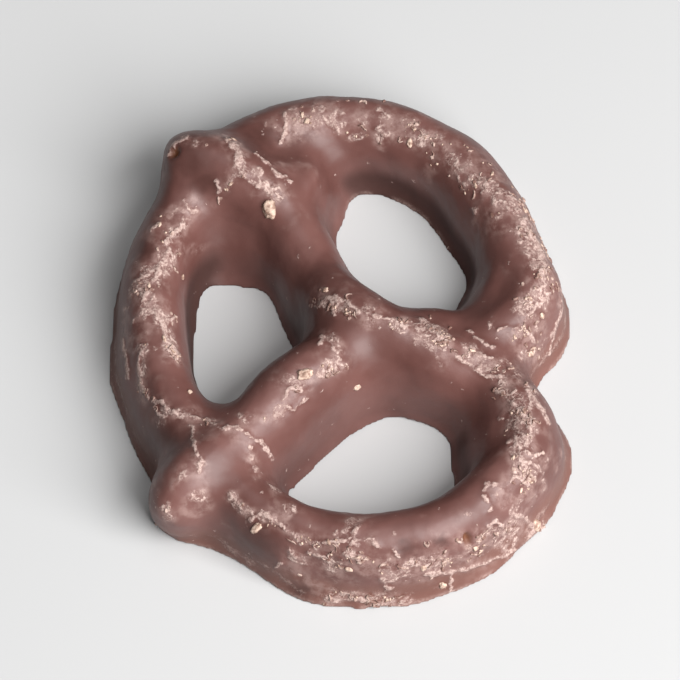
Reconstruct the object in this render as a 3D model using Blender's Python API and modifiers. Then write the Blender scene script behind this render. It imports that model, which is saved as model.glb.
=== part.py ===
"""A chocolate covered mini pretzel that lies on its flat foot. Metres, +Z up, origin mid-foot.

One rope of dough runs from its first end through the crossing, round the near ear, the rim and the far
ear, and back through the crossing to its second end. Both ends lie on the rim and stand out as knobs.
The chocolate coat rounds every inner corner and ends in a flat foot with a thin flange.
"""

import math

import bmesh
import bpy
from mathutils import Matrix, Vector, noise

MM = 0.001

# The rim is an oval whose long way leans a little from Y, drawn out a little at three places
RIM_CENTRE = (0.2 * MM, 1.0 * MM)
RIM_RADIUS = 16.75 * MM
RIM_OVAL = 0.13
RIM_LONG_WAY = math.radians(101)
RIM_LOBES = 0.022
RIM_LOBE_AT = math.radians(-55)
RIM_STARTS = math.radians(-34)
RIM_ENDS = math.radians(-350)
RIM_STATIONS = 20
RIM_GIRTH = 1.01
RIM_GIRTH_SWELL = 0.03
RIM_WIDEST = math.radians(20)

# The strands inside the rim, from each end of the rope: x, y and lift in mm, then girth
NEAR_STRAND = (
    (-13.4, 15.1, 0.1, 1.18),
    (-9.4, 14.6, 1.0, 1.20),
    (-4.5, 11.0, -0.2, 1.04),
    (-1.5, 5.0, -0.6, 1.02),
    (1.7, 0.8, 0.9, 1.13),
    (6.0, -1.2, 0.8, 1.04),
    (11.5, -3.4, -0.2, 0.98),
)
FAR_STRAND = (
    (-13.1, -14.2, -0.6, 0.92),
    (-11.3, -12.0, 0.7, 1.06),
    (-7.0, -8.4, 0.7, 1.05),
    (-3.3, -4.2, 0.5, 1.18),
    (0.8, -1.6, -0.1, 1.10),
    (6.4, 0.6, -0.7, 1.10),
    (9.9, -0.8, -1.1, 1.14),
)

# The coated rope in section: a dome on near-upright walls that spread into the foot
ROPE_HALF_WIDTH = 2.7 * MM
ROPE_HEIGHT = 6.9 * MM
WALL_TOP = 2.3 * MM
WALL_SPREAD = 0.4 * MM
SKIRT_DEPTH = 3.0 * MM
DOME_STEPS = 12
ROPE_STEP = 0.6 * MM
END_ROUNDING = 2.6 * MM
END_GIRTH = 0.55
WELD = 0.06 * MM

# Chocolate that ran together in the sharp corners of the loops: x, y, reach on the belt and height, in mm
POOLS = (
    (13.0, -8.2, 6.2, 5.6),
    (12.6, 4.2, 5.0, 6.0),
    (-7.4, 10.6, 4.4, 3.6),
    (-3.2, 14.1, 4.0, 6.6),
    (-10.2, -7.6, 3.9, 5.0),
)
POOL_CROWN = 0.3
POOL_SIDES = 32

# How the coat was laid on and settled
VOXEL = 0.4 * MM
CORNER_FILL = 1.5 * MM
SETTLING_PASSES = 16
RIPPLE_SIZE = 5.0 * MM
RIPPLE_DEPTH = 0.5 * MM
BELT_BOX = 60 * MM

# The flange that the wet coat left where it met the belt, wider in some places than in others
FLANGE_HEIGHT = 1.0 * MM
FLANGE_SPREAD = 0.4 * MM
FLANGE_WAVE = 5.0 * MM

TRIANGLES = 9000
SHARP_EDGE = math.radians(50)

CHOCOLATE = (0.13, 0.065, 0.052, 1.0)
SATIN = 0.42

# Whatever the coat leaves this little above the belt is pressed level with it
LEVEL_BELOW = 0.03 * MM


def clear_scene():
    for thing in list(bpy.data.objects):
        bpy.data.objects.remove(thing)


def station(x, y, lift, girth):
    """One place on the rope's axis: its position, and how thick the rope is there."""
    return Vector((x, y, lift, girth))


def rim_station(angle):
    lobes = RIM_LOBES * math.cos(3 * (angle - RIM_LOBE_AT))
    reach = RIM_RADIUS * (1 + RIM_OVAL * math.cos(2 * (angle - RIM_LONG_WAY)) + lobes)
    girth = RIM_GIRTH + RIM_GIRTH_SWELL * math.cos(angle - RIM_WIDEST)
    x = RIM_CENTRE[0] + reach * math.cos(angle)
    y = RIM_CENTRE[1] + reach * math.sin(angle)
    return station(x, y, 0.0, girth)


def rope_stations():
    """The stations of the whole rope, from one end to the other."""
    near, far = (
        [station(x * MM, y * MM, lift * MM, girth) for x, y, lift, girth in strand]
        for strand in (NEAR_STRAND, FAR_STRAND)
    )
    turn = (RIM_ENDS - RIM_STARTS) / (RIM_STATIONS - 1)
    rim = [rim_station(RIM_STARTS + turn * i) for i in range(RIM_STATIONS)]
    return near + rim + far[::-1]


def smooth_through(stations, step):
    """Points every step or so along one smooth curve through the stations."""
    ends = [2 * stations[0] - stations[1]] + stations + [2 * stations[-1] - stations[-2]]
    points = []
    for before, start, stop, after in zip(ends, ends[1:], ends[2:], ends[3:]):
        pieces = max(1, round((stop - start).xyz.length / step))
        for i in range(pieces):
            t = i / pieces
            points.append(0.5 * (
                2 * start
                + (stop - before) * t
                + (2 * before - 5 * start + 4 * stop - after) * t ** 2
                + (3 * start - before - 3 * stop + after) * t ** 3
            ))
    return points + [stations[-1]]


def poly_curve(name, points, radii, closed):
    data = bpy.data.curves.new(name, "CURVE")
    data.dimensions = "3D"
    spline = data.splines.new("POLY")
    spline.points.add(len(points) - 1)
    for knot, point, radius in zip(spline.points, points, radii):
        knot.co = (*point, 1.0)
        knot.radius = radius
    spline.use_cyclic_u = closed
    return data


def rope_section():
    """The outline that is swept along the rope, x across it and y up."""
    dome_height = ROPE_HEIGHT - WALL_TOP
    outline = []
    for i in range(DOME_STEPS + 1):
        angle = math.pi * i / DOME_STEPS
        outline.append((ROPE_HALF_WIDTH * math.cos(angle), WALL_TOP + dome_height * math.sin(angle)))
    edge = ROPE_HALF_WIDTH + WALL_SPREAD
    outline += [(-edge, 0.0), (-edge, -SKIRT_DEPTH), (edge, -SKIRT_DEPTH), (edge, 0.0)]
    return [Vector((x, y, 0.0)) for x, y in outline]


def end_taper(distance):
    """How far the rope has narrowed at this distance from its end, so that the end is round."""
    if distance >= END_ROUNDING:
        return 1.0
    return max(END_GIRTH, math.sqrt(1 - (1 - distance / END_ROUNDING) ** 2))


def hide_guide(thing, guides):
    guides.objects.link(thing)
    thing.hide_render = True
    thing.display_type = "WIRE"


def baked(thing):
    """The mesh of a thing as its modifiers leave it."""
    bpy.context.view_layer.update()
    graph = bpy.context.evaluated_depsgraph_get()
    return bpy.data.meshes.new_from_object(thing.evaluated_get(graph))


def build_rope(parts, guides):
    outline = rope_section()
    section_curve = poly_curve("rope_section", outline, [1.0] * len(outline), True)
    section_curve.dimensions = "2D"
    section = bpy.data.objects.new("rope_section", section_curve)
    hide_guide(section, guides)

    points = smooth_through(rope_stations(), ROPE_STEP)
    along = [0.0]
    for before, after in zip(points, points[1:]):
        along.append(along[-1] + (after - before).xyz.length)
    radii = [p.w * end_taper(d) * end_taper(along[-1] - d) for p, d in zip(points, along)]
    data = poly_curve("rope", [p.xyz for p in points], radii, False)
    data.twist_mode = "Z_UP"
    data.bevel_mode = "OBJECT"
    data.bevel_object = section
    data.use_fill_caps = True
    rope = bpy.data.objects.new("rope", data)
    parts.objects.link(rope)
    pretzel = bpy.data.objects.new("pretzel", baked(rope))
    bpy.data.objects.remove(rope)
    parts.objects.link(pretzel)
    return pretzel


def weld(mesh):
    """Merges points that all but coincide: those of the rope's end caps, and slivers along the foot."""
    body = bmesh.new()
    body.from_mesh(mesh)
    bmesh.ops.remove_doubles(body, verts=body.verts, dist=WELD)
    body.to_mesh(mesh)
    body.free()


def add_pools(mesh):
    """Stands a low cone of chocolate in each sharp corner."""
    body = bmesh.new()
    body.from_mesh(mesh)
    for x, y, reach, height in POOLS:
        depth = height * MM + SKIRT_DEPTH
        bmesh.ops.create_cone(
            body,
            cap_ends=True,
            segments=POOL_SIDES,
            radius1=reach * MM,
            radius2=reach * POOL_CROWN * MM,
            depth=depth,
            matrix=Matrix.Translation((x * MM, y * MM, depth / 2 - SKIRT_DEPTH)),
        )
    body.to_mesh(mesh)
    body.free()


def add_modifier(thing, kind, **settings):
    modifier = thing.modifiers.new(kind.lower(), kind)
    for name, value in settings.items():
        setattr(modifier, name, value)


def keep_modifiers(thing):
    """Makes the mesh that the modifiers give the thing's own."""
    mesh = baked(thing)
    thing.modifiers.clear()
    thing.data = mesh


def coat(pretzel):
    """Fuses the rope where it crosses and touches itself, and fills its inner corners as chocolate does."""
    ripples = bpy.data.textures.new("ripples", "CLOUDS")
    ripples.noise_scale = RIPPLE_SIZE
    ripples.noise_depth = 0
    add_modifier(pretzel, "REMESH", mode="VOXEL", voxel_size=VOXEL)
    for depth in (CORNER_FILL, -CORNER_FILL):
        add_modifier(pretzel, "DISPLACE", strength=depth, mid_level=0.0)
        add_modifier(pretzel, "REMESH", mode="VOXEL", voxel_size=VOXEL)
    add_modifier(pretzel, "SMOOTH", factor=0.5, iterations=SETTLING_PASSES)
    add_modifier(pretzel, "DISPLACE", texture=ripples, texture_coords="LOCAL", strength=RIPPLE_DEPTH)


def cut_foot(pretzel, guides):
    """Cuts the coat off level at the belt."""
    bpy.ops.mesh.primitive_cube_add(size=BELT_BOX, location=(0.0, 0.0, BELT_BOX / 2))
    belt = bpy.context.object
    belt.name = "above_the_belt"
    for collection in belt.users_collection:
        collection.objects.unlink(belt)
    hide_guide(belt, guides)
    add_modifier(pretzel, "BOOLEAN", operation="INTERSECT", object=belt)


def spread_flange(mesh):
    """Draws the lowest part of the coat outwards over the belt."""
    spread = []
    for vertex in mesh.vertices:
        out = vertex.normal * Vector((1, 1, 0))
        reach = 0.0
        if vertex.co.z < FLANGE_HEIGHT and out.length > 0:
            wave = 1 + noise.noise(vertex.co * Vector((1, 1, 0)) / FLANGE_WAVE)
            reach = FLANGE_SPREAD * wave * (1 - vertex.co.z / FLANGE_HEIGHT) ** 2
        spread.append(vertex.co + out.normalized() * reach)
    for vertex, place in zip(mesh.vertices, spread):
        vertex.co = place


def centre(mesh):
    """Puts the middle of the foot at the origin, with all of the foot level."""
    lowest, highest = (
        Vector([pick(vertex.co[axis] for vertex in mesh.vertices) for axis in range(3)])
        for pick in (min, max)
    )
    for vertex in mesh.vertices:
        vertex.co -= (lowest + highest) / 2 * Vector((1, 1, 0)) + lowest * Vector((0, 0, 1))
        if vertex.co.z < LEVEL_BELOW:
            vertex.co.z = 0.0


def main():
    clear_scene()
    parts = bpy.data.collections.new("chocolate_covered_pretzel")
    guides = bpy.data.collections.new("guides")
    for collection in (parts, guides):
        bpy.context.scene.collection.children.link(collection)
    pretzel = build_rope(parts, guides)
    weld(pretzel.data)
    add_pools(pretzel.data)
    coat(pretzel)
    cut_foot(pretzel, guides)
    keep_modifiers(pretzel)
    spread_flange(pretzel.data)
    weld(pretzel.data)
    faces = sum(len(face.vertices) - 2 for face in pretzel.data.polygons)
    add_modifier(pretzel, "DECIMATE", ratio=TRIANGLES / faces)
    keep_modifiers(pretzel)
    centre(pretzel.data)
    pretzel.data.shade_smooth()
    pretzel.data.set_sharp_from_angle(angle=SHARP_EDGE)

    chocolate = bpy.data.materials.new("chocolate")
    chocolate.use_nodes = True
    shader = chocolate.node_tree.nodes["Principled BSDF"]
    shader.inputs["Base Color"].default_value = CHOCOLATE
    shader.inputs["Roughness"].default_value = SATIN
    shader.inputs["Metallic"].default_value = 0.0
    pretzel.data.materials.clear()
    pretzel.data.materials.append(chocolate)


main()
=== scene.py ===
import math
import random

import bmesh
import bpy
import numpy as np
from mathutils import Euler, Matrix, Quaternion, Vector, noise
from mathutils.bvhtree import BVHTree


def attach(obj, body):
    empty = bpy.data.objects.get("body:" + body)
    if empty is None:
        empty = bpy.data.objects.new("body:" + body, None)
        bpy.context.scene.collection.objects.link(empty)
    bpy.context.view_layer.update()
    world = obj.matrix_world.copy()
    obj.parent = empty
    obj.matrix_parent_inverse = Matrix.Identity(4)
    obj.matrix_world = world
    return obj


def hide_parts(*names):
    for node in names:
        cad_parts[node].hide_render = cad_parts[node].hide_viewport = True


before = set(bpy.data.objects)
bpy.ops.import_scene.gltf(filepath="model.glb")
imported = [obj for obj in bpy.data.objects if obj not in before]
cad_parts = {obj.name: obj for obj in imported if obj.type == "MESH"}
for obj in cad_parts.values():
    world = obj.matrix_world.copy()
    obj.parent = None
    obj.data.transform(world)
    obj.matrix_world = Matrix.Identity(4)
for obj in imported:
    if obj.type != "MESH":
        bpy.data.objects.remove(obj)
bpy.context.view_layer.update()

# The coated knot: a baked rope of dough under one skin of dark milk chocolate.
# The wet coat closed over the crossings, rounded every corner and set on a level belt, which left
# the flat foot and its thin lip; later the ridges were rubbed pale in handling.
MM = 0.001
MERGE_WITHIN = 0.001 * MM
SKIN_CELL = 0.22 * MM
SKIN_SOFTENING = 12
FORM_SOFTENING = 150


def keep_modifier(thing, kind, **settings):
    """Gives a thing one modifier and keeps what it makes as the thing's own mesh."""
    modifier = thing.modifiers.new(kind, kind)
    for name, value in settings.items():
        setattr(modifier, name, value)
    bpy.context.view_layer.update()
    graph = bpy.context.evaluated_depsgraph_get()
    mesh = bpy.data.meshes.new_from_object(thing.evaluated_get(graph))
    thing.modifiers.clear()
    thing.data = mesh


def read_points(mesh, what="co"):
    """One row of three for each vertex of a mesh: its place, or what else is asked for."""
    values = np.empty(len(mesh.vertices) * 3)
    mesh.vertices.foreach_get(what, values)
    return values.reshape(-1, 3)


def rise(value, low, high):
    """0 below low, 1 above high, and a smooth rise between."""
    t = np.clip((value - low) / (high - low), 0.0, 1.0)
    return t * t * (3.0 - 2.0 * t)


def waves(points, size, octaves=1):
    """Smooth noise of about -1 to 1 with humps of the given size, one value for each point."""
    return np.array([noise.fractal(Vector(p) / size, 1.0, 2.0, octaves) for p in points])


skin = bpy.data.objects.new("chocolate_coat", bpy.data.meshes.new("chocolate_coat"))
bpy.context.scene.collection.objects.link(skin)
body = bmesh.new()
body.from_mesh(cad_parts["pretzel"].data)
bmesh.ops.remove_doubles(body, verts=body.verts, dist=MERGE_WITHIN)
body.to_mesh(skin.data)
body.free()
keep_modifier(skin, "REMESH", mode="VOXEL", voxel_size=SKIN_CELL)
keep_modifier(skin, "SMOOTH", factor=0.5, iterations=SKIN_SOFTENING)

# How far each point stands out of the form around it, in mm: ridges above 0, hollows below.
# The form around it is a copy of the skin that has been smoothed until its ropes sink away
soft = skin.copy()
soft.data = skin.data.copy()
bpy.context.scene.collection.objects.link(soft)
keep_modifier(soft, "SMOOTH", factor=0.5, iterations=FORM_SOFTENING)
place = read_points(skin.data)
facing = read_points(skin.data, "normal")
standing = ((place - read_points(soft.data)) * facing).sum(1) / MM
bpy.data.objects.remove(soft)

# The camera looks down at 60 degrees, and the marks on the coat are given where it sees them:
# x and y in mm on the level 4 mm up, measured along the plan
LOOK_DOWN = math.radians(60)
SEEN_LEVEL = 4.0
plan = place[:, :2] / MM
seen = plan.copy()
seen[:, 1] += (place[:, 2] / MM - SEEN_LEVEL) / math.tan(LOOK_DOWN)
in_view = rise(facing @ (0.0, -math.cos(LOOK_DOWN), math.sin(LOOK_DOWN)), 0.0, 0.3)

# Where the coat was rubbed: how far from the line in mm, how hard, and the corners of the line
RUBBED_BANDS = (
    (1.0, 1.0, (-2.0, 3.0), (0.5, 2.4), (3.0, 1.4), (5.0, 0.7), (7.0, 0.2), (9.0, -1.6), (12.8, -3.2)),
    (1.3, 1.0, (12.8, -3.2), (13.6, -6.5), (14.1, -10.0), (14.3, -13.0), (13.0, -14.8)),
    (1.7, 0.9, (14.2, -17.0), (10.6, -19.4), (7.0, -20.4), (3.0, -20.5), (-0.5, -20.2), (-3.0, -19.6)),
    (0.8, 0.9, (4.8, -23.8), (2.0, -23.4), (-0.8, -23.6), (-3.4, -21.0)),
    (0.5, 1.0, (-8.4, -14.4), (-7.2, -15.6), (-5.5, -16.2), (-3.8, -17.5), (-2.0, -18.7)),
    (0.8, 0.8, (-1.2, -0.2), (0.4, -2.6), (-2.4, -3.6), (-4.0, -5.4), (-5.0, -7.2), (-7.4, -7.7)),
    (1.2, 0.9, (-11.4, 11.6), (-13.0, 9.4), (-13.8, 7.6), (-14.0, 6.0), (-15.0, 4.2), (-14.2, 2.0)),
    (0.9, 1.0, (-14.2, 2.0), (-13.4, 0.0), (-12.8, -2.4)),
    (0.6, 0.9, (-15.4, -1.2), (-15.5, -3.4), (-15.0, -5.6), (-13.6, -6.7), (-11.6, -7.5), (-8.2, -8.5)),
    (0.6, 0.8, (-8.2, -8.5), (-6.9, -10.4), (-6.4, -12.6)),
    (0.6, 0.8, (-11.4, -8.2), (-11.1, -10.4), (-10.6, -12.2)),
    (0.9, 0.9, (-10.4, 17.4), (-8.2, 16.8), (-7.5, 14.8), (-6.2, 13.6), (-5.0, 12.8)),
    (0.9, 0.6, (-8.8, 13.8), (-10.0, 11.6)),
    (1.4, 0.95, (-4.4, 18.6), (-1.0, 19.7), (2.5, 19.4), (5.5, 18.6), (8.5, 16.5), (11.0, 13.8),
     (13.2, 12.0)),
    (1.3, 1.0, (13.2, 12.0), (14.6, 9.8), (15.6, 7.4), (15.7, 5.0), (15.0, 2.4), (14.6, -1.8)),
    (0.9, 0.7, (-12.8, -12.9), (-11.6, -12.5)),
    (0.9, 0.7, (-13.5, -15.8), (-12.8, -17.2)),
)

# The ridges of chocolate scraped up there that stand out most: half the width in mm, and the corners.
# Their lines wander by the crinkle, which is in mm too
SCRAPED_RIDGES = (
    (0.30, (-14.2, 1.8), (-13.6, 0.4), (-13.4, -0.8), (-12.6, -2.0)),
    (0.22, (-13.6, 1.2), (-12.8, 1.5)),
    (0.20, (-15.4, -1.3), (-15.6, -3.0), (-15.3, -4.8), (-14.9, -5.8)),
    (0.22, (-14.6, -6.1), (-13.8, -6.1), (-13.2, -6.8), (-11.6, -7.5), (-10.3, -7.7), (-9.0, -8.5)),
    (0.18, (-14.3, -6.6), (-13.8, -7.3), (-13.2, -7.4)),
    (0.18, (-8.9, -8.4), (-8.0, -8.2), (-7.2, -8.9), (-5.8, -9.9), (-5.3, -11.2)),
    (0.26, (-6.9, -10.1), (-6.9, -11.0)),
    (0.24, (-6.5, -11.8), (-6.4, -12.2)),
    (0.20, (-11.4, -8.3), (-11.2, -9.5), (-11.1, -10.4), (-10.6, -11.3), (-10.8, -12.3)),
    (0.15, (-16.8, -0.6), (-16.5, -2.4), (-16.4, -4.0)),
    (0.16, (-16.1, 1.0), (-15.5, 1.5)),
    (0.22, (-14.7, 9.3), (-14.1, 9.9)),
    (0.26, (-13.6, 8.4), (-13.0, 9.0), (-12.3, 9.8)),
    (0.22, (-12.1, 12.0), (-11.6, 10.8), (-11.2, 11.2)),
    (0.20, (-13.4, 8.2), (-13.5, 6.8), (-14.3, 5.4), (-14.5, 4.8)),
    (0.18, (-15.3, 2.9), (-15.0, 3.6), (-14.5, 3.5), (-14.7, 2.8)),
    (0.16, (-13.5, 16.2), (-12.9, 17.2), (-12.0, 17.7)),
    (0.34, (-8.8, 17.4), (-8.1, 16.6), (-7.8, 15.0)),
    (0.28, (-7.7, 14.6), (-6.9, 13.7), (-6.1, 13.2)),
    (0.24, (-6.4, 14.9), (-6.1, 13.4)),
    (0.18, (-6.6, 16.2), (-5.6, 15.4), (-4.8, 14.3), (-3.7, 13.6)),
    (0.20, (-9.6, 13.8), (-9.5, 12.8)),
    (0.18, (-5.3, 13.2), (-5.2, 12.5)),
    (0.18, (-4.7, 17.4), (-4.2, 18.6), (-4.3, 20.0)),
    (0.18, (-0.9, 19.7), (-0.4, 19.0), (0.0, 18.1)),
    (0.18, (2.9, 18.6), (3.5, 18.0)),
    (0.20, (9.2, 14.4), (9.4, 13.7), (9.9, 13.4)),
    (0.20, (11.1, 13.7), (11.6, 13.3), (11.2, 12.7)),
    (0.20, (12.3, 12.9), (13.2, 12.4), (14.0, 11.9)),
    (0.18, (12.6, 11.6), (13.8, 11.0)),
    (0.20, (10.3, 11.4), (10.6, 11.0), (10.8, 11.4)),
    (0.36, (14.2, 10.2), (14.8, 8.9), (15.6, 7.4), (15.8, 6.2), (15.7, 4.8)),
    (0.26, (15.3, 4.0), (15.9, 4.4)),
    (0.20, (16.2, 3.6), (15.4, 2.6), (14.4, 1.7)),
    (0.16, (17.2, 6.0), (17.5, 4.0), (17.2, 1.8), (16.6, 0.0), (16.3, -2.0)),
    (0.18, (12.2, 0.3), (12.9, 0.6), (13.7, 0.5)),
    (0.30, (14.5, 0.1), (15.1, -0.7)),
    (0.20, (-2.3, 2.5), (-1.7, 2.4), (-0.9, 3.3), (-0.5, 2.4), (-0.4, 1.6)),
    (0.26, (-0.5, 3.2), (0.6, 2.8), (1.5, 1.8)),
    (0.20, (2.0, 1.9), (3.2, 1.4), (4.5, 1.2), (5.0, 0.3)),
    (0.28, (6.4, 1.2), (7.0, 0.4), (7.7, -0.3)),
    (0.20, (8.8, -1.9), (10.0, -2.7), (11.2, -3.8), (12.3, -3.9)),
    (0.22, (10.0, 0.2), (10.6, -0.5), (11.9, -1.3)),
    (0.20, (10.5, -1.9), (11.9, -2.3), (12.2, -3.0)),
    (0.22, (-1.6, -1.0), (-1.3, -0.2)),
    (0.22, (-0.6, -1.2), (0.0, -2.3)),
    (0.22, (-4.4, -5.9), (-3.9, -4.9), (-3.2, -4.8), (-2.9, -5.3)),
    (0.16, (-4.2, -6.2), (-3.6, -6.8), (-2.6, -5.7)),
    (0.24, (14.3, -4.6), (15.0, -5.8), (15.7, -7.0), (16.1, -8.0)),
    (0.22, (12.2, -5.1), (12.9, -5.6), (13.5, -5.1)),
    (0.22, (13.3, -6.3), (14.0, -6.7), (14.2, -7.3)),
    (0.20, (12.4, -7.6), (13.1, -7.8), (13.9, -7.7)),
    (0.24, (14.4, -7.4), (14.9, -7.8), (14.6, -8.4)),
    (0.20, (13.6, -8.2), (13.9, -8.9), (14.5, -9.2)),
    (0.20, (12.9, -9.6), (13.5, -9.4), (13.8, -10.2), (14.0, -11.2)),
    (0.20, (14.2, -10.3), (14.7, -10.9), (15.3, -10.7)),
    (0.20, (14.1, -11.4), (14.9, -11.6), (15.5, -12.3)),
    (0.20, (13.0, -13.2), (13.4, -12.7), (13.9, -12.6), (14.4, -13.4)),
    (0.20, (11.0, -14.0), (11.3, -13.2), (11.9, -13.4)),
    (0.20, (11.0, -14.4), (11.6, -15.2), (11.4, -15.6)),
    (0.24, (13.2, -15.9), (14.2, -16.3), (14.9, -17.2), (14.6, -18.4)),
    (0.20, (11.2, -16.9), (11.9, -16.5), (12.6, -17.3), (13.5, -17.4)),
    (0.24, (13.4, -18.2), (13.4, -19.2), (12.4, -19.8), (11.4, -20.2)),
    (0.22, (11.2, -20.3), (9.8, -20.8), (8.4, -21.1), (6.6, -21.3)),
    (0.18, (8.5, -21.3), (8.5, -22.6), (9.0, -23.6)),
    (0.26, (-8.5, -14.3), (-7.9, -15.0), (-7.2, -15.6)),
    (0.16, (-6.8, -16.5), (-6.2, -15.9), (-5.2, -16.4), (-3.8, -17.5), (-2.9, -18.6)),
    (0.18, (-3.9, -19.0), (-3.4, -19.8)),
    (0.18, (-4.9, -20.7), (-4.4, -20.2)),
    (0.18, (-2.4, -19.3), (-1.0, -19.8)),
    (0.20, (-1.2, -18.4), (0.5, -18.2), (1.6, -17.0)),
    (0.18, (0.8, -18.7), (1.5, -18.1), (2.3, -18.2), (3.2, -18.9)),
    (0.20, (0.4, -19.4), (1.2, -19.8), (1.8, -20.0)),
    (0.20, (4.0, -18.9), (4.6, -19.6)),
    (0.24, (3.3, -21.6), (3.6, -22.4), (4.0, -22.6)),
    (0.24, (-0.9, -23.5), (1.0, -23.4), (2.3, -23.5)),
    (0.22, (2.6, -23.8), (4.4, -24.3), (4.8, -23.7)),
)


def distance_to_line(points, corners):
    """How far each point of the plan is from the line through the corners given."""
    nearest = np.full(len(points), np.inf)
    for start, stop in zip(np.array(corners), np.array(corners[1:])):
        along = np.clip((points - start) @ (stop - start) / ((stop - start) ** 2).sum(), 0.0, 1.0)
        away = np.linalg.norm(points - start - along[:, None] * (stop - start), axis=1)
        nearest = np.minimum(nearest, away)
    return nearest


pressed = np.zeros(len(place))
for reach, strength, *corners in RUBBED_BANDS:
    away = distance_to_line(seen, corners)
    pressed = np.maximum(pressed, strength * np.exp(-(away / reach) ** 2))
CRINKLE = 0.22
crinkle = CRINKLE * np.column_stack([waves(place + shift * MM, 0.6 * MM, 2) for shift in (11.0, 23.0)])
ridge = np.zeros(len(place))
for half_width, *corners in SCRAPED_RIDGES:
    away = distance_to_line(seen + crinkle, corners)
    ridge = np.maximum(ridge, np.exp(-(away / half_width) ** 2))
ridge *= in_view * (0.75 + 0.5 * waves(place + 5.0 * MM, 0.5 * MM, 2))

# Patches with no rubbing on them, whose colour is darkened as painted shade: x, y and reach in mm, as the
# camera sees them
BARE_AND_SHADED_PATCHES = (
    (-11.6, 15.4, 2.2), (-10.6, 13.6, 1.4), (-6.2, 17.8, 1.4), (-13.6, -9.2, 1.8), (-6.4, -18.6, 1.7),
    (5.0, -18.9, 0.8), (7.8, -18.4, 0.5), (-3.0, -22.8, 1.0), (-3.4, 1.0, 2.0), (-15.0, 7.4, 1.0),
)
bare_and_shaded = np.zeros(len(place))
for x, y, reach in BARE_AND_SHADED_PATCHES:
    away = np.hypot(*(seen + 2.0 * crinkle - (x, y)).T)
    bare_and_shaded = np.maximum(bare_and_shaded, np.exp(-(away / reach) ** 2))

# The sides of the knot: the outer side starts along the middle of the rim, 12.5 to 14.5 mm from the
# middle of the knot, and the open side is all that faces up, with the upper part of the outer wall
RIM_MIDDLE = (12.5, 14.5)
WALL_TOP = 3.2 * MM
INNER_WALL_TOP = 3.5 * MM
UNDERSIDE_TOP = 0.6 * MM
LIP_TOP = 0.45 * MM
from_middle = np.hypot(plan[:, 0], plan[:, 1])
outward = (facing[:, :2] * plan).sum(1) / from_middle
outer_side = rise(from_middle, *RIM_MIDDLE)
open_side = rise(facing[:, 2] + 0.5 * np.clip(outward, 0.0, 1.0), 0.20, 0.70)

# The rubbing: hard along the bands, thin on every other crest, and in scattered patches on the wall
crest = open_side * rise(standing, 0.0, 0.12)
drift = waves(place + 7.0 * MM, 1.4 * MM, 3)
rubbed = np.clip(open_side * pressed * (0.75 + 0.6 * drift) + crest * (0.10 + 0.30 * drift), 0.0, 1.0)
scattered = outer_side * rise(waves(place + 31.0 * MM, 4.0 * MM, 3), 0.05, 0.40)
scattered *= rise(place[:, 2], 1.5 * MM, 3.5 * MM)
rubbed = np.maximum(rubbed, 0.7 * scattered * rise(facing[:, 2], -0.3, 0.1) * (0.7 + 0.5 * drift))
rubbed *= 1.0 - bare_and_shaded

# The low parts: the foot of the outer wall, the walls of the holes, the underside, and the lip
wall = outer_side * rise(outward, 0.35, 0.85) * rise(WALL_TOP - place[:, 2], 0.0, 1.5 * MM)
# The hollow mask carries painted shade: the concave places and the low walls of the holes get a darker
# colour where shade falls, and a duller finish
inner_wall = rise(-outward, 0.3, 0.8) * rise(INNER_WALL_TOP - place[:, 2], 0.0, 2.0 * MM)
shaded_hollow = np.maximum(0.2 * rise(-standing, 0.0, 0.15), inner_wall)
underside = rise(-facing[:, 2], 0.75, 0.97) * rise(UNDERSIDE_TOP - place[:, 2], 0.0, 0.4 * MM)
lip = rise(LIP_TOP - place[:, 2], 0.0, 0.25 * MM) * (1.0 - underside)
pale_lip = lip * outer_side

# Small nicks where the coat chipped down to the crust: x and y on the plan, reach and depth, in mm
NICKS = (
    (-13.0, 13.9, 0.40, 0.40),
    (9.8, -18.9, 0.32, 0.45),
)
nick = np.zeros(len(place))
nick_depth = np.zeros(len(place))
for x, y, reach, depth in NICKS:
    dent = np.exp(-(np.hypot(plan[:, 0] - x, plan[:, 1] - y) / reach) ** 4) * rise(facing[:, 2], 0.1, 0.4)
    nick = np.maximum(nick, dent)
    nick_depth += dent * depth * MM

# Air pits in the underside, where bubbles were caught against the belt: their reach is in mm
PITS = 70
PIT_REACH = (0.2, 0.7)
rng = random.Random(5)
pit_depth = np.zeros(len(place))
under = np.flatnonzero(underside > 0.9)
for _ in range(PITS):
    at = plan[rng.choice(under)]
    reach = rng.uniform(*PIT_REACH)
    bowl = 1.0 - ((plan - at) ** 2).sum(1) / reach ** 2
    pit_depth = np.maximum(pit_depth, 0.45 * reach * MM * np.clip(bowl, 0.0, 1.0) * underside)

# The skin's own unevenness: slow swells, then finer dimples, then the torn relief of the rubbed bands
# and the scraped ridges on them
SWELL_HEIGHT = 0.10 * MM
DIMPLE_HEIGHT = 0.025 * MM
TORN_HEIGHT = 0.07 * MM
RIDGE_HEIGHT = 0.15 * MM
swell = SWELL_HEIGHT * waves(place, 3.5 * MM, 2)
dimples = DIMPLE_HEIGHT * waves(place, 0.9 * MM, 2)
torn = TORN_HEIGHT * rubbed * waves(place, 0.55 * MM, 3) + RIDGE_HEIGHT * ridge
out = (swell + dimples) * (1.0 - underside) * (1.0 - 0.8 * lip) + torn * (1.0 - lip)
moved = place + facing * (out - nick_depth - pit_depth)[:, None]
moved[:, 2] = np.maximum(moved[:, 2], 0.0)
skin.data.vertices.foreach_set("co", moved.ravel())
masks = {"rubbed": rubbed, "ridge": ridge, "bare_and_shaded": bare_and_shaded, "wall": wall, "shaded_hollow": shaded_hollow,
         "underside": underside, "lip": pale_lip, "nick": nick}
for name, values in masks.items():
    attribute = skin.data.attributes.new(name, "FLOAT", "POINT")
    attribute.data.foreach_set("value", values.astype(np.float32))
skin.data.shade_smooth()
skin.data.update()


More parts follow.
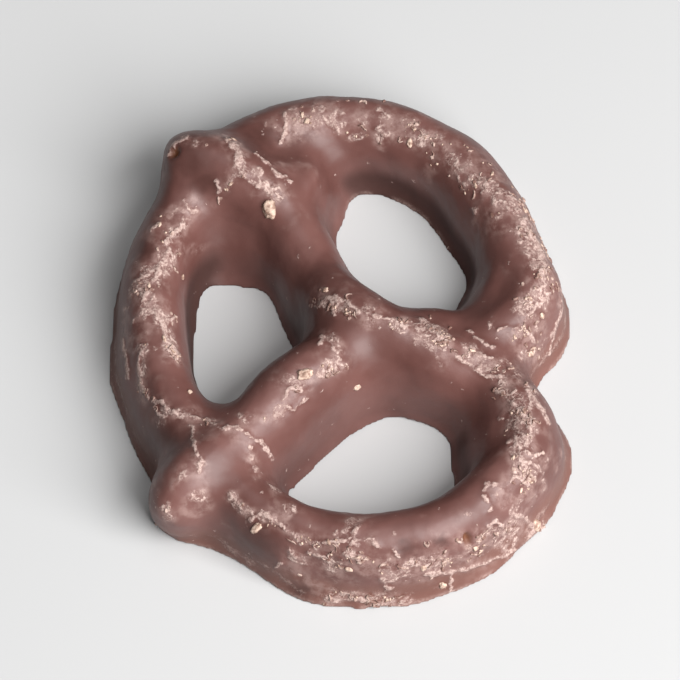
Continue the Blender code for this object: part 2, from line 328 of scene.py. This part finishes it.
class Nodes:
    """Lays out the nodes of one tree, each wired as it is added."""

    def __init__(self, tree):
        self.tree = tree

    def add(self, kind, settings=None, **wired):
        node = self.tree.nodes.new(kind)
        for key, value in (settings or {}).items():
            setattr(node, key, value)
        for key, value in wired.items():
            self.feed(node.inputs[key.replace("_", " ")], value)
        return node

    def feed(self, socket, value):
        if isinstance(value, bpy.types.NodeSocket):
            self.tree.links.new(value, socket)
        else:
            socket.default_value = value

    def math(self, operation, first, second=0.0, third=0.0):
        node = self.tree.nodes.new("ShaderNodeMath")
        node.operation = operation
        for socket, value in zip(node.inputs, (first, second, third)):
            self.feed(socket, value)
        return node.outputs[0]

    def rise(self, value, low, high):
        node = self.add("ShaderNodeMapRange", {"interpolation_type": "SMOOTHSTEP"}, Value=value)
        self.feed(node.inputs["From Min"], low)
        self.feed(node.inputs["From Max"], high)
        return node.outputs["Result"]

    def mix(self, share, first, second):
        """One colour over another. A Mix node has its colours at 6 and 7, and puts them out at 2."""
        node = self.add("ShaderNodeMix", {"data_type": "RGBA"})
        for index, value in ((0, share), (6, first), (7, second)):
            self.feed(node.inputs[index], value)
        return node.outputs[2]

    def attribute(self, name):
        return self.add("ShaderNodeAttribute", {"attribute_name": name}).outputs["Fac"]

    def millimetres(self):
        """Object coordinates in millimetres, so a noise of scale 1 has humps of 1 mm."""
        place = self.add("ShaderNodeTexCoord").outputs["Object"]
        node = self.add("ShaderNodeVectorMath", {"operation": "SCALE"}, Scale=1000.0)
        self.tree.links.new(place, node.inputs[0])
        return node.outputs[0]

    def noise(self, place, size, detail=2.0, roughness=0.5):
        return self.add(
            "ShaderNodeTexNoise", Vector=place, Scale=1.0 / size, Detail=detail, Roughness=roughness,
        ).outputs["Fac"]


def make_blotches():
    """The group for an uneven tone: soft blotches, 0 where their noise is low and 1 where it is high."""
    group = bpy.data.node_groups.new("blotches", "ShaderNodeTree")
    group.interface.new_socket("Place", in_out="INPUT", socket_type="NodeSocketVector")
    for name in ("Scale", "Low", "High"):
        group.interface.new_socket(name, in_out="INPUT", socket_type="NodeSocketFloat")
    group.interface.new_socket("Tone", in_out="OUTPUT", socket_type="NodeSocketFloat")
    inside = Nodes(group)
    given = inside.add("NodeGroupInput").outputs
    grain = inside.add("ShaderNodeTexNoise", Vector=given["Place"], Scale=given["Scale"], Detail=3.0)
    tone = inside.rise(grain.outputs["Fac"], given["Low"], given["High"])
    inside.add("NodeGroupOutput", Tone=tone)
    return group


class Finish(Nodes):
    """The nodes of one material, round its shader."""

    blotch_group = make_blotches()

    def __init__(self, name):
        self.material = bpy.data.materials.new(name)
        self.material.use_nodes = True
        self.shader = self.material.node_tree.nodes["Principled BSDF"]
        super().__init__(self.material.node_tree)

    def blotches(self, place, size, low, high):
        node = self.add("ShaderNodeGroup", {"node_tree": self.blotch_group}, Place=place, Scale=1.0 / size)
        self.feed(node.inputs["Low"], low)
        self.feed(node.inputs["High"], high)
        return node.outputs["Tone"]


FRESH_COAT = (0.106, 0.043, 0.036, 1.0)
BLOOMED_COAT = (0.142, 0.062, 0.053, 1.0)
WALL_COAT = (0.155, 0.064, 0.045, 1.0)
# The dark brown of the painted shade in the hollows and on the walls of the holes
PAINTED_SHADE_COAT = (0.050, 0.018, 0.014, 1.0)
RUBBED_FILM = (0.27, 0.170, 0.150, 1.0)
FLAKE_SHADE = (0.25, 0.155, 0.135, 1.0)
FLAKE_LIGHT = (0.52, 0.385, 0.34, 1.0)
BELT_SHADE = (0.120, 0.070, 0.058, 1.0)
BELT_LIGHT = (0.22, 0.15, 0.125, 1.0)
CRUST = (0.13, 0.045, 0.018, 1.0)
coat = Finish("chocolate_coat")
mm = coat.millimetres()
rub = coat.attribute("rubbed")
shake = coat.add("ShaderNodeTexNoise", Vector=mm, Scale=2.6, Detail=4.0, Roughness=0.6)
shaken = coat.add("ShaderNodeVectorMath", {"operation": "MULTIPLY_ADD"})
for socket, value in zip(shaken.inputs, (shake.outputs["Color"], (0.9, 0.9, 0.9), mm)):
    coat.feed(socket, value)

# The lace of torn threads: the edges of warped cells, broken into short lengths
cells = coat.add(
    "ShaderNodeTexVoronoi", {"feature": "DISTANCE_TO_EDGE"}, Vector=shaken.outputs[0], Scale=0.95
).outputs["Distance"]
small_cells = coat.add(
    "ShaderNodeTexVoronoi", {"feature": "DISTANCE_TO_EDGE"}, Vector=shaken.outputs[0], Scale=1.9
).outputs["Distance"]
patch = coat.noise(mm, 2.0, detail=5.0, roughness=0.62)
cover = coat.rise(coat.math("MULTIPLY_ADD", rub, 0.36, patch), 0.69, 0.80)
breaks = coat.noise(mm, 0.7, detail=3.0)
thread = coat.math("SUBTRACT", 1.0, coat.rise(cells, 0.07, 0.20))
thread = coat.math("MULTIPLY", thread, coat.rise(breaks, 0.46, 0.56))
fine_thread = coat.math("SUBTRACT", 1.0, coat.rise(small_cells, 0.06, 0.22))
fine_thread = coat.math("MULTIPLY", fine_thread, coat.rise(breaks, 0.50, 0.40))
lace = coat.math("MULTIPLY", coat.math("MAXIMUM", thread, coat.math("MULTIPLY", fine_thread, 0.7)), cover)

# Haze of fine dust among the threads, and stray specks that lie anywhere
fine = coat.noise(mm, 0.22, detail=4.0, roughness=0.65)
haze = coat.math("MULTIPLY", cover, coat.rise(fine, 0.42, 0.66))
raised = coat.rise(coat.math("MULTIPLY_ADD", fine, 0.6, coat.attribute("ridge")), 0.60, 0.95)
speck_cells = coat.add("ShaderNodeTexVoronoi", Vector=shaken.outputs[0], Scale=1.1)
speck_pick = coat.add("ShaderNodeSeparateColor", Color=speck_cells.outputs["Color"]).outputs["Red"]
speck = coat.math("MULTIPLY",
                  coat.math("SUBTRACT", 1.0, coat.rise(speck_cells.outputs["Distance"], 0.06, 0.16)),
                  coat.math("GREATER_THAN", speck_pick, 0.80))
flakes = coat.math("MAXIMUM", lace, coat.math("MULTIPLY", haze, 0.30))
flakes = coat.math("MAXIMUM", flakes, coat.math("MULTIPLY", speck, 0.7))
flakes = coat.math("MAXIMUM", flakes, coat.math("MULTIPLY", raised, 0.85))

# The seam where the coat's thin foot spreads from the wall, pale in places, about 1.3 mm up
SEAM_SHIFT = 2.4
SEAM_WANDER = 2.2
height = coat.add("ShaderNodeSeparateXYZ", Vector=mm).outputs["Z"]
wander = coat.noise(mm, 2.5, detail=4.0)
above_seam = coat.math("MULTIPLY_ADD", wander, SEAM_WANDER, coat.math("SUBTRACT", height, SEAM_SHIFT))
off_seam = coat.math("ABSOLUTE", above_seam)
seam = coat.math("SUBTRACT", 1.0, coat.rise(off_seam, 0.03, coat.rise(fine, 0.2, 0.9)))
seam = coat.math("MULTIPLY", seam, coat.attribute("wall"))
seam = coat.math("MULTIPLY", seam, coat.rise(patch, 0.45, 0.60))

# The colours, from the plain coat up to what lies on it
plain = coat.mix(coat.blotches(mm, 5.0, 0.35, 0.65), FRESH_COAT, BLOOMED_COAT)
plain = coat.mix(coat.math("MULTIPLY", coat.attribute("wall"), 0.5), plain, WALL_COAT)
# Painted shade: the hollows, the low walls of the holes and the bare patches are darkened in colour, where
# the knot lies in shade
painted_shade = coat.math("MAXIMUM", coat.attribute("shaded_hollow"), coat.math("MULTIPLY", coat.attribute("bare_and_shaded"), 0.75))
plain = coat.mix(painted_shade, plain, PAINTED_SHADE_COAT)
mottle = coat.noise(mm, 0.9, detail=4.0, roughness=0.65)
film = coat.math("MULTIPLY", coat.rise(rub, 0.05, 0.6), coat.rise(mottle, 0.36, 0.66))
plain = coat.mix(coat.math("MULTIPLY", film, 0.70), plain, RUBBED_FILM)
pale = coat.mix(coat.rise(fine, 0.35, 0.65), FLAKE_SHADE, FLAKE_LIGHT)
edge = coat.math("MULTIPLY", coat.attribute("lip"), coat.rise(patch, 0.40, 0.60))
edge = coat.math("MAXIMUM", coat.math("MULTIPLY", edge, 0.35), coat.math("MULTIPLY", seam, 0.45))
colour = coat.mix(flakes, plain, pale)
colour = coat.mix(edge, colour, pale)
belt = coat.mix(coat.rise(patch, 0.50, 0.62), BELT_SHADE, BELT_LIGHT)
colour = coat.mix(coat.attribute("underside"), colour, belt)
colour = coat.mix(coat.attribute("nick"), colour, CRUST)
coat.feed(coat.shader.inputs["Base Color"], colour)

# The finish: satin where the coat is whole, dull in the hollows and where it is torn
gloss = coat.math("MULTIPLY_ADD", coat.noise(mm, 2.5, detail=3.0), 0.16, 0.36)
matte = coat.math("MAXIMUM", coat.attribute("underside"), coat.attribute("shaded_hollow"))
matte = coat.math("MAXIMUM", flakes, matte)
coat.feed(coat.shader.inputs["Roughness"], coat.math("MULTIPLY_ADD", matte, 0.35, gloss))
coat.shader.inputs["Specular IOR Level"].default_value = 0.38
relief = coat.math("MULTIPLY_ADD", flakes, 0.8, coat.math("MULTIPLY_ADD", fine, 0.18, seam))
bump = coat.add("ShaderNodeBump", Strength=0.7, Distance=0.06 * MM, Height=relief)
coat.feed(coat.shader.inputs["Normal"], bump.outputs["Normal"])
skin.data.materials.append(coat.material)
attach(skin, "root")
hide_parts("pretzel")

# The shavings: crinkled threads of chocolate that were scraped up along the ridges in handling.
# Each lies on the coat along a wandering line, tapers at both ends and lifts off here and there.
SHAVINGS = 180
SHAVING_STEP = 0.13 * MM
SHAVING_THICK = 0.10 * MM
SHAVING_TURN = 0.35
SHAVING_STEPS = (3, 7)
SCRAPED_SHADE = (0.175, 0.088, 0.068, 1.0)
SCRAPED_LIGHT = (0.46, 0.33, 0.28, 1.0)


def keep_above_table(vertices):
    """Presses flat what would reach below the level of the foot."""
    for vertex in vertices:
        vertex.co.z = max(vertex.co.z, 0.0)


surface = BVHTree.FromObject(skin, bpy.context.evaluated_depsgraph_get())
clumps = rise(waves(place, 1.6 * MM, 2), 0.0, 0.4)
scraped = list(np.cumsum(rubbed ** 2 * clumps * (pressed > 0.15)))
spots = range(len(place))
threads = bpy.data.curves.new("shavings", "CURVE")
threads.dimensions = "3D"
threads.bevel_depth = SHAVING_THICK
threads.bevel_resolution = 0
threads.use_fill_caps = True
for start in rng.choices(spots, cum_weights=scraped, k=SHAVINGS):
    at = Vector(moved[start])
    up = Vector(facing[start])
    heading = up.orthogonal().normalized()
    heading.rotate(Quaternion(up, rng.uniform(0.0, math.tau)))
    turn = rng.gauss(0.0, SHAVING_TURN)
    steps = rng.randint(*SHAVING_STEPS)
    stout = rng.uniform(0.5, 1.4)
    spline = threads.splines.new("POLY")
    spline.points.add(steps)
    for i, knot in enumerate(spline.points):
        lift = SHAVING_THICK * rng.uniform(0.1, 0.6)
        knot.co = (*(at + up * lift), 1.0)
        knot.radius = stout * rng.uniform(0.7, 1.3) * math.sin(math.pi * (i + 0.6) / (steps + 1.2)) ** 0.6
        heading.rotate(Quaternion(up, turn + rng.gauss(0.0, 0.6)))
        at, up, *_ = surface.find_nearest(at + heading * SHAVING_STEP)
        heading = (heading - up * heading.dot(up)).normalized()
shavings = bpy.data.objects.new("shavings", threads)
scene = bpy.context.scene
scene.collection.objects.link(shavings)
bpy.context.view_layer.update()
thread_mesh = bpy.data.meshes.new_from_object(shavings.evaluated_get(bpy.context.evaluated_depsgraph_get()))
bpy.data.objects.remove(shavings)
shavings = bpy.data.objects.new("shavings", thread_mesh)
scene.collection.objects.link(shavings)
keep_above_table(thread_mesh.vertices)
shavings.data.shade_smooth()

scraped_up = Finish("scraped_chocolate")
tone = scraped_up.blotches(scraped_up.millimetres(), 0.45, 0.38, 0.68)
colour = scraped_up.mix(tone, SCRAPED_SHADE, SCRAPED_LIGHT)
scraped_up.feed(scraped_up.shader.inputs["Base Color"], colour)
scraped_up.shader.inputs["Roughness"].default_value = 0.6
shavings.data.materials.clear()
shavings.data.materials.append(scraped_up.material)
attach(shavings, "root")
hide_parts("pretzel")

# The chips: flat flakes that split off the brittle coat and stuck again at a slant.
# Each is an uneven plate with a broken edge, its underside set into the coat.
CHIPS = 200
CHIP_THICK = 0.07 * MM
CHIP_SIDES = 7
CHIP_REACH = (0.08, 0.24)
CHIP_SLANT = 0.25
plates = bmesh.new()
for start in rng.choices(spots, cum_weights=scraped, k=CHIPS):
    up = Vector(facing[start])
    slant = Euler((rng.gauss(0.0, CHIP_SLANT), rng.gauss(0.0, CHIP_SLANT), rng.uniform(0.0, math.tau)))
    turn = (up.to_track_quat("Z", "Y").to_matrix() @ slant.to_matrix()).to_4x4()
    wide = rng.uniform(*CHIP_REACH) * MM
    size = Matrix.Diagonal((1.0, rng.uniform(0.5, 0.9), 1.0, 1.0))
    plate = bmesh.ops.create_cone(
        plates, cap_ends=True, segments=CHIP_SIDES, radius1=wide, radius2=0.8 * wide, depth=CHIP_THICK,
    )["verts"]
    for vertex in plate:
        vertex.co *= rng.uniform(0.75, 1.25)
    at = Vector(moved[start]) + up * 0.2 * CHIP_THICK
    bmesh.ops.transform(plates, matrix=Matrix.Translation(at) @ turn @ size, verts=plate)
chips = bpy.data.objects.new("chips", bpy.data.meshes.new("chips"))
scene.collection.objects.link(chips)
keep_above_table(plates.verts)
plates.to_mesh(chips.data)
plates.free()
chips.data.materials.append(scraped_up.material)
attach(chips, "root")
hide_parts("pretzel")

# The crumbs: bits of the coat that broke off and stuck again, most of them along the rubbed ridges.
# Each is a lump with an uneven face, set a little into the coat.
CRUMBS = 240
CRUMB_WIDE = (0.04, 0.13)
LUMPY_FROM = 0.2 * MM
CRUMB_SHADE = (0.26, 0.155, 0.115, 1.0)
CRUMB_LIGHT = (0.56, 0.41, 0.325, 1.0)

# The crumbs that stand out: x and y as the camera sees them, half the width and half the length,
# all in mm, and the turn in radians
NAMED_CRUMBS = (
    (-5.5, 11.2, 0.52, 0.75, 0.2),
    (-2.7, -3.6, 0.42, 0.62, 1.3),
    (1.3, -4.8, 0.26, 0.32, 1.2),
    (-6.4, -17.2, 0.28, 0.58, -0.5),
    (-12.3, 5.1, 0.20, 0.24, 0.0),
    (5.5, 17.3, 0.22, 0.30, 0.4),
    (-2.6, 19.3, 0.20, 0.26, 0.0),
    (-1.1, 3.9, 0.22, 0.26, 0.0),
    (15.2, -17.1, 0.36, 0.60, 0.1),
    (14.8, -1.8, 0.26, 0.30, 0.8),
    (15.7, 1.6, 0.22, 0.32, 0.3),
    (7.9, -22.3, 0.26, 0.38, 0.6),
    (6.4, -20.7, 0.22, 0.30, 0.0),
    (10.4, -19.0, 0.22, 0.26, 0.5),
    (0.7, -20.8, 0.20, 0.32, 1.4),
    (-11.6, -5.2, 0.18, 0.26, 0.3),
)
lumps = bmesh.new()


def add_crumb(at, up, wide, long, spin):
    """One crumb that lies on the coat at a place, turned about the way up by spin."""
    turn = up.to_track_quat("Z", "Y").to_matrix().to_4x4() @ Matrix.Rotation(spin, 4, "Z")
    size = Matrix.Diagonal((wide, long, 0.6 * wide, 1.0))
    fineness = 1 if long < LUMPY_FROM else 3
    lump = bmesh.ops.create_icosphere(lumps, subdivisions=fineness, radius=1.0)["verts"]
    for vertex in lump:
        bulge = 1.0 + 0.45 * noise.fractal(vertex.co * 1.4 + Vector(at) / MM, 1.0, 2.0, 2)
        vertex.co = Vector(at) + up * 0.1 * wide + (turn @ size @ (vertex.co * bulge))


look = Vector((0.0, math.cos(LOOK_DOWN), -math.sin(LOOK_DOWN)))
WELL_IN_FRONT = 50
for x, y, wide, long, spin in NAMED_CRUMBS:
    eye = Vector((x, y, SEEN_LEVEL)) * MM - look * WELL_IN_FRONT * MM
    at, up, *_ = surface.ray_cast(eye, look)
    add_crumb(at, up, wide * MM, long * MM, spin)
for start in rng.choices(spots, cum_weights=scraped, k=CRUMBS):
    wide = rng.uniform(*CRUMB_WIDE) * MM
    long = wide * rng.uniform(1.0, 2.2)
    add_crumb(moved[start], Vector(facing[start]), wide, long, rng.uniform(0.0, math.pi))
crumbs = bpy.data.objects.new("crumbs", bpy.data.meshes.new("crumbs"))
scene.collection.objects.link(crumbs)
keep_above_table(lumps.verts)
lumps.to_mesh(crumbs.data)
lumps.free()
crumbs.data.shade_smooth()
crumb = Finish("crumb_chocolate")
tone = crumb.blotches(crumb.millimetres(), 0.35, 0.36, 0.60)
colour = crumb.mix(tone, CRUMB_SHADE, CRUMB_LIGHT)
crumb.feed(crumb.shader.inputs["Base Color"], colour)
crumb.shader.inputs["Roughness"].default_value = 0.65
crumbs.data.materials.append(crumb.material)
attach(crumbs, "root")
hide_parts("pretzel")

# The table: a plain pale sheet, so wide that its edges are never seen.
# It lies a hair below the foot, because two faces on one level would flicker through each other.
TABLE_SIDE = 1.2
TABLE_BELOW = 0.02 * MM
TABLE_GREY = (0.48, 0.48, 0.48, 1.0)
bpy.ops.mesh.primitive_plane_add(size=TABLE_SIDE)
table = bpy.context.object
table.name = "table"
table.data.transform(Matrix.Translation((0.0, 0.0, -TABLE_BELOW)))
sheet = Finish("table")
sheet.shader.inputs["Base Color"].default_value = TABLE_GREY
sheet.shader.inputs["Roughness"].default_value = 0.6
table.data.materials.append(sheet.material)

# The light: a dim white room, a broad soft window in front of the knot on its right, and a weak one
# straight above it.
ROOM_LIGHT = 0.10
room = bpy.data.worlds.new("room")
room.use_nodes = True
room.node_tree.nodes["Background"].inputs["Color"].default_value = (1.0, 1.0, 1.0, 1.0)
room.node_tree.nodes["Background"].inputs["Strength"].default_value = ROOM_LIGHT
scene.world = room


def add_window(name, place, side, power):
    """A square lamp that shines on the middle of the knot: place and side in metres, power in watts."""
    lamp = bpy.data.lights.new(name, "AREA")
    lamp.size = side
    lamp.energy = power
    window = bpy.data.objects.new(name, lamp)
    scene.collection.objects.link(window)
    window.location = place
    window.rotation_euler = (-Vector(place)).to_track_quat("-Z", "Y").to_euler()


add_window("front_window", place=(0.29, -0.26, 0.34), side=0.45, power=6.9)
add_window("top_window", place=(0.02, 0.02, 0.50), side=0.30, power=0.6)

# The camera: it looks down on the knot from 60 degrees and from as far off as a long lens stands.
# The width of what it sees, at the knot, sets its lens.
CAMERA_AWAY = 0.6
SEEN_WIDTH = 53 * MM
AIM_HEIGHT = 3.0 * MM
camera = bpy.data.objects.new("camera", bpy.data.cameras.new("camera"))
scene.collection.objects.link(camera)
camera.location = Vector((0.0, 0.0, AIM_HEIGHT)) - look * CAMERA_AWAY
camera.rotation_euler = look.to_track_quat("-Z", "Y").to_euler()
camera.data.lens = camera.data.sensor_width * CAMERA_AWAY / SEEN_WIDTH
camera.data.clip_start = 0.01
camera.data.clip_end = 10.0
scene.camera = camera
scene.view_settings.view_transform = "Standard"
